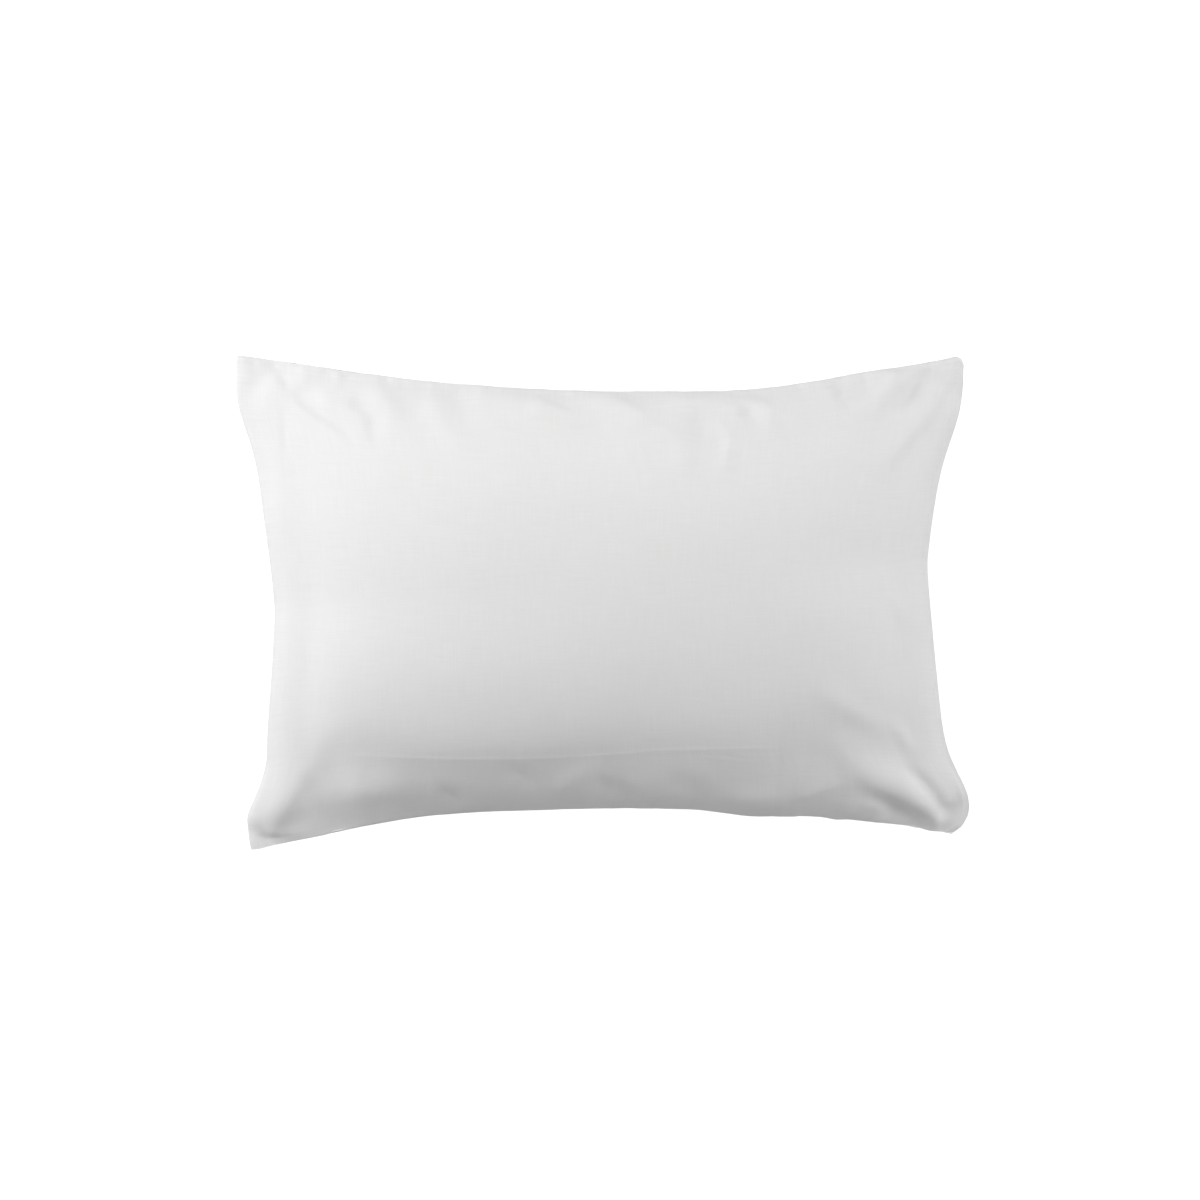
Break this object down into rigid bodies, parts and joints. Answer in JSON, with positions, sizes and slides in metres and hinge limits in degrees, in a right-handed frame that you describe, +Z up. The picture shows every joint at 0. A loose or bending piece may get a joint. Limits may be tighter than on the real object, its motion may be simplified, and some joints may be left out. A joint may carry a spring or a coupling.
{
  "type": "bed pillow",
  "caption": "Rectangular bed pillow: fibre-filled insert in a plain white cotton case with an inner tuck flap at one end, lying flat.",
  "frame": {"origin": "centre of the footprint, on the surface that the pillow lies on", "axes": "+X along the long side towards the case's open end, +Y along the short side, +Z up out of the surface"},
  "size_m": [0.735, 0.498, 0.1761],
  "materials": {
    "case_cotton": "plain-weave white cotton percale, matt, with fine slubs",
    "white_thread": "white sewing thread",
    "ticking_cotton": "closely woven white cotton ticking",
    "woven_label": "smooth white woven tape, blank",
    "fibre_filling": "white siliconised polyester fibre"
  },
  "bodies": {
    "root": {"case_front_panel": "case_cotton", "case_back_panel": "case_cotton", "case_tuck_flap": "case_cotton", "case_flap_hem": "case_cotton", "case_mouth_hem": "case_cotton", "case_top_seam": "case_cotton", "case_bottom_seam": "case_cotton", "top_seam_stitch": "white_thread", "bottom_seam_stitch": "white_thread", "flap_hem_stitch": "white_thread", "mouth_hem_stitch": "white_thread", "case_care_label": "woven_label", "ticking_front_panel": "ticking_cotton", "ticking_back_panel": "ticking_cotton", "ticking_top_seam": "ticking_cotton", "ticking_bottom_seam": "ticking_cotton", "ticking_plain_end_seam": "ticking_cotton", "ticking_filling_end_seam": "ticking_cotton", "ticking_closing_stitch": "white_thread", "ticking_care_label": "woven_label", "filling": "fibre_filling"}
  },
  "joints": []
}
